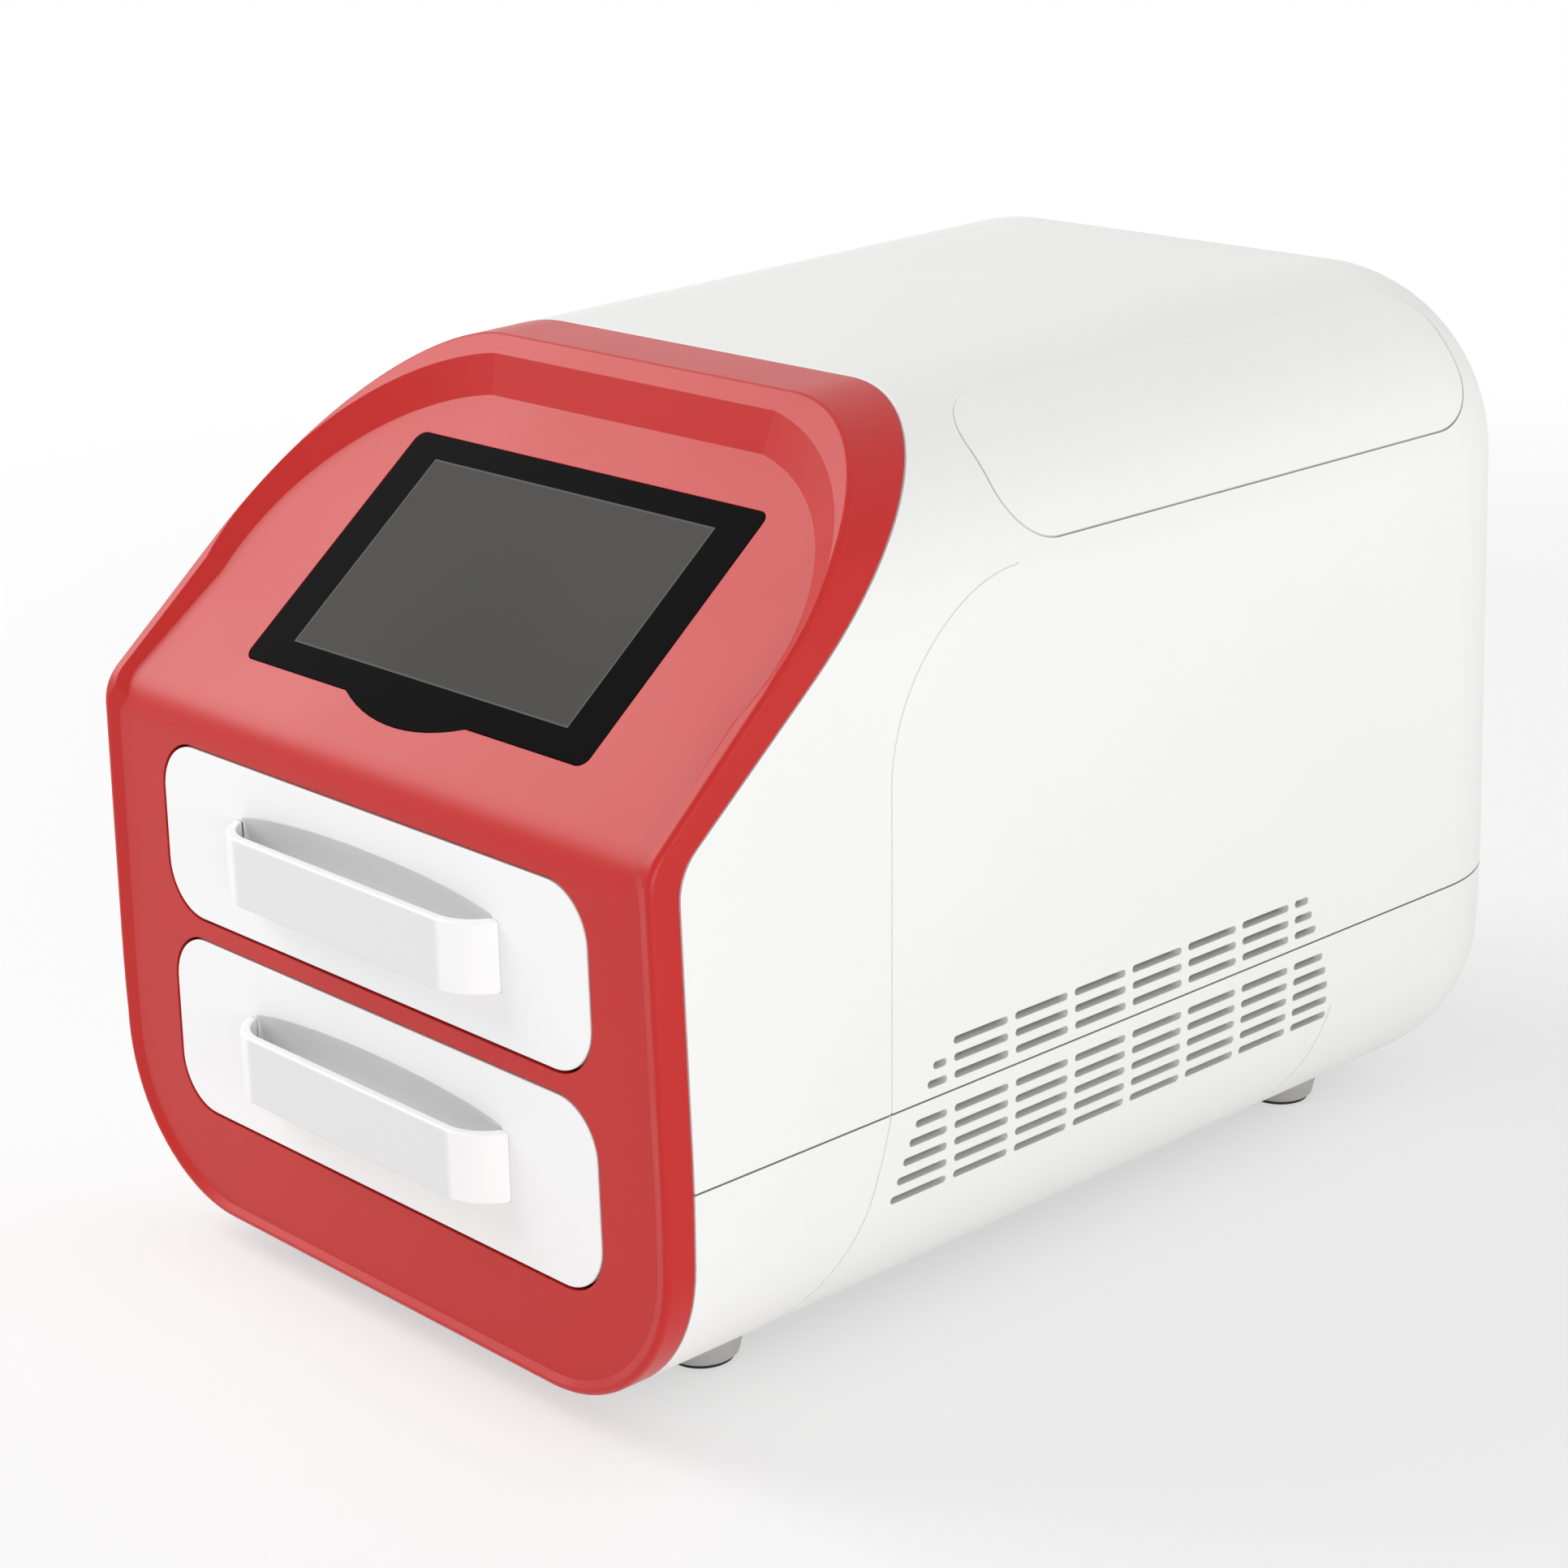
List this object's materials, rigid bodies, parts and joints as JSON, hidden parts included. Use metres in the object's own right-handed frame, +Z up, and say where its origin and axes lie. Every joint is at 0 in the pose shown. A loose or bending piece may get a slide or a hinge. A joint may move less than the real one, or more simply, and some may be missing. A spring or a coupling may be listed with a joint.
{
  "type": "semi-dry blotter",
  "caption": "Bench instrument with rounded white case, sloped screen in a red bezel and pull-out drawers with cup handles, for semi-dry transfer of proteins from gel to membrane.",
  "frame": {"origin": "bottom centre of the whole instrument, on the bench, midway between the drawer handles' front and the rear face", "axes": "+Z up, -Y out of the drawer fronts, +X to the right for a person who looks at the front along +Y"},
  "size_m": [0.2098, 0.325, 0.2268],
  "materials": {
    "bezel_red": "glossy red ABS",
    "drawer_white": "semi-gloss white moulding",
    "case_white": "satin white ABS",
    "panel_white": "semi-gloss white insert",
    "screen_glass": "black-backed touch glass",
    "display_grey": "unlit display",
    "board_green": "solder-mask green laminate",
    "component_black": "component mouldings",
    "ribbon_grey": "flat lead jacket",
    "sheet_steel": "zinc-plated sheet",
    "screw_steel": "plated screws",
    "slide_steel": "slide members",
    "sink_aluminium": "bare extrusion",
    "supply_steel": "plated can",
    "cassette_black": "moulded cassette body",
    "lid_grey": "moulded cassette lid",
    "knob_red": "moulded knob",
    "anode_metal": "platinum-coated titanium plate",
    "cathode_steel": "stainless plate",
    "contact_brass": "contact pins",
    "insulator_black": "black insulator",
    "foot_grey": "grey moulded cup",
    "pad_black": "black rubber",
    "fan_black": "black fan plastic"
  },
  "bodies": {
    "housing": {"base_shell": "case_white", "bay_divider": "sheet_steel", "board_parts": "component_black", "board_screws": "screw_steel", "case_screws": "screw_steel", "chassis": "sheet_steel", "contact_blocks": "insulator_black", "contact_wall": "sheet_steel", "data_port": "insulator_black", "display_board": "board_green", "display_module": "display_grey", "display_ribbon": "ribbon_grey", "drawer_rails": "slide_steel", "fan_frame": "fan_black", "fan_guard": "screw_steel", "foot_pads": "pad_black", "frame_screws": "screw_steel", "front_bezel": "bezel_red", "front_left_foot": "foot_grey", "front_right_foot": "foot_grey", "heat_sink": "sink_aluminium", "left_shoulder_panel": "panel_white", "main_board": "board_green", "mains_inlet": "insulator_black", "mains_inlet_pins": "contact_brass", "power_supply": "supply_steel", "rear_left_foot": "foot_grey", "rear_panel": "sheet_steel", "rear_right_foot": "foot_grey", "rear_screws": "screw_steel", "right_shoulder_panel": "panel_white", "screen_glass": "screen_glass", "switch_housing": "insulator_black", "top_deck": "sheet_steel", "upper_shell": "case_white"},
    "upper_drawer": {"upper_drawer_front": "drawer_white", "upper_handle": "drawer_white", "upper_carrier": "sheet_steel", "upper_runners": "slide_steel", "upper_cassette_base": "cassette_black", "upper_anode": "anode_metal", "upper_cathode": "cathode_steel", "upper_cassette_lid": "lid_grey", "upper_contact_pins": "contact_brass"},
    "upper_knob": {"upper_lock_knob": "knob_red"},
    "lower_drawer": {"lower_drawer_front": "drawer_white", "lower_handle": "drawer_white", "lower_carrier": "sheet_steel", "lower_runners": "slide_steel", "lower_cassette_base": "cassette_black", "lower_anode": "anode_metal", "lower_cathode": "cathode_steel", "lower_cassette_lid": "lid_grey", "lower_contact_pins": "contact_brass"},
    "lower_knob": {"lower_lock_knob": "knob_red"},
    "fan": {"fan_rotor": "fan_black"},
    "rocker": {"switch_rocker": "insulator_black"}
  },
  "joints": [
    {"name": "upper_drawer_slide", "type": "slide", "parent": "housing", "child": "upper_drawer", "axis": [0, -1, 0], "range_m": [0, 0.15]},
    {"name": "upper_knob_turn", "type": "hinge", "parent": "upper_drawer", "child": "upper_knob", "pos_m": [0, -0.0705, 0.1151], "axis": [0, 0, 1], "range_deg": [0, 90]},
    {"name": "lower_drawer_slide", "type": "slide", "parent": "housing", "child": "lower_drawer", "axis": [0, -1, 0], "range_m": [0, 0.15]},
    {"name": "lower_knob_turn", "type": "hinge", "parent": "lower_drawer", "child": "lower_knob", "pos_m": [0, -0.0705, 0.063], "axis": [0, 0, 1], "range_deg": [0, 90]},
    {"name": "fan_spin", "type": "hinge", "parent": "housing", "child": "fan", "pos_m": [-0.021, 0.15, 0.1355], "axis": [0, 1, 0], "continuous": true},
    {"name": "rocker_tip", "type": "hinge", "parent": "housing", "child": "rocker", "pos_m": [-0.03, 0.156, 0.092], "axis": [1, 0, 0], "range_deg": [-10, 0]}
  ]
}
